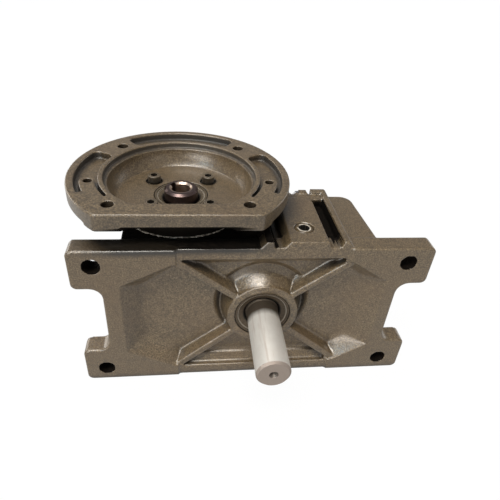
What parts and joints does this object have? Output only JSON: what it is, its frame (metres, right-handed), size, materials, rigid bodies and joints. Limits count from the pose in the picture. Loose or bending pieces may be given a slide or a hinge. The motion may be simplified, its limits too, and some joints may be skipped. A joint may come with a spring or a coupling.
{
  "type": "worm gear reducer",
  "caption": "Cast worm gear reducer with a lugged mounting face, a cut-off motor flange over a hollow keyed worm and a solid output shaft through the face.",
  "frame": {"origin": "where the output shaft's axis meets the plane of the mounting face", "axes": "+Y along the output axis into the case, so the shaft leaves towards -Y; +Z along the worm axis towards the motor flange; +X to the right seen from the mounting face"},
  "size_m": [0.26, 0.196, 0.15],
  "materials": {
    "case_paint": "semi-gloss enamel over cast iron",
    "gasket_paper": "matte",
    "screw_steel": "oiled black oxide",
    "plug_steel": "satin",
    "zinc_steel": "zinc plated",
    "worm_steel": "hardened, oiled",
    "ground_steel": "ground",
    "hub_iron": "turned",
    "bronze": "cut",
    "painted_rubber": "over-painted",
    "seal_rubber": "matte",
    "bearing_steel": "ground",
    "cage_steel": "pressed"
  },
  "bodies": {
    "case": {"housing": "case_paint", "motor_flange": "case_paint", "flange_gasket": "gasket_paper", "flange_screws": "screw_steel", "flange_washers": "screw_steel", "input_oil_seal": "painted_rubber", "input_seal_spring": "bearing_steel", "worm_end_cap": "case_paint", "end_cap_shim": "gasket_paper", "end_cap_bolts": "zinc_steel", "output_oil_seal": "seal_rubber", "output_seal_spring": "bearing_steel", "back_cover": "case_paint", "cover_gasket": "gasket_paper", "cover_bolts": "zinc_steel", "cover_washers": "zinc_steel", "filler_plug": "plug_steel", "drain_plug": "plug_steel", "upper_worm_bearing_cup": "bearing_steel", "lower_worm_bearing_cup": "bearing_steel", "front_output_bearing_cup": "bearing_steel", "rear_output_bearing_cup": "bearing_steel"},
    "output": {"output_shaft": "ground_steel", "wheel_key": "ground_steel", "wheel_hub": "hub_iron", "wheel_rim": "bronze", "rim_screws": "screw_steel", "rear_spacer": "ground_steel", "front_output_bearing_cone": "bearing_steel", "rear_output_bearing_cone": "bearing_steel"},
    "worm": {"worm_shaft": "worm_steel", "upper_worm_bearing_cone": "bearing_steel", "lower_worm_bearing_cone": "bearing_steel"},
    "upper_worm_bearing_cage": {"upper_worm_bearing_rollers": "bearing_steel", "upper_worm_bearing_cage": "cage_steel"},
    "lower_worm_bearing_cage": {"lower_worm_bearing_rollers": "bearing_steel", "lower_worm_bearing_cage": "cage_steel"},
    "front_output_bearing_cage": {"front_output_bearing_rollers": "bearing_steel", "front_output_bearing_cage": "cage_steel"},
    "rear_output_bearing_cage": {"rear_output_bearing_rollers": "bearing_steel", "rear_output_bearing_cage": "cage_steel"}
  },
  "joints": [
    {"name": "output_spin", "type": "hinge", "parent": "case", "child": "output", "pos_m": [0, 0, 0], "axis": [0, 1, 0], "continuous": true},
    {"name": "worm_spin", "type": "hinge", "parent": "case", "child": "worm", "pos_m": [-0.06, 0.062, 0], "axis": [0, 0, 1], "continuous": true},
    {"name": "upper_worm_bearing_cage_spin", "type": "hinge", "parent": "case", "child": "upper_worm_bearing_cage", "pos_m": [-0.06, 0.062, 0], "axis": [0, 0, 1], "continuous": true},
    {"name": "lower_worm_bearing_cage_spin", "type": "hinge", "parent": "case", "child": "lower_worm_bearing_cage", "pos_m": [-0.06, 0.062, 0], "axis": [0, 0, 1], "continuous": true},
    {"name": "front_output_bearing_cage_spin", "type": "hinge", "parent": "case", "child": "front_output_bearing_cage", "pos_m": [0, 0, 0], "axis": [0, 1, 0], "continuous": true},
    {"name": "rear_output_bearing_cage_spin", "type": "hinge", "parent": "case", "child": "rear_output_bearing_cage", "pos_m": [0, 0, 0], "axis": [0, 1, 0], "continuous": true}
  ],
  "couplings": [
    {"joint": "worm_spin", "follows": "output_spin", "ratio": -30},
    {"joint": "upper_worm_bearing_cage_spin", "follows": "output_spin", "ratio": -12.48},
    {"joint": "lower_worm_bearing_cage_spin", "follows": "output_spin", "ratio": -12.48},
    {"joint": "front_output_bearing_cage_spin", "follows": "output_spin", "ratio": 0.416},
    {"joint": "rear_output_bearing_cage_spin", "follows": "output_spin", "ratio": 0.416}
  ]
}
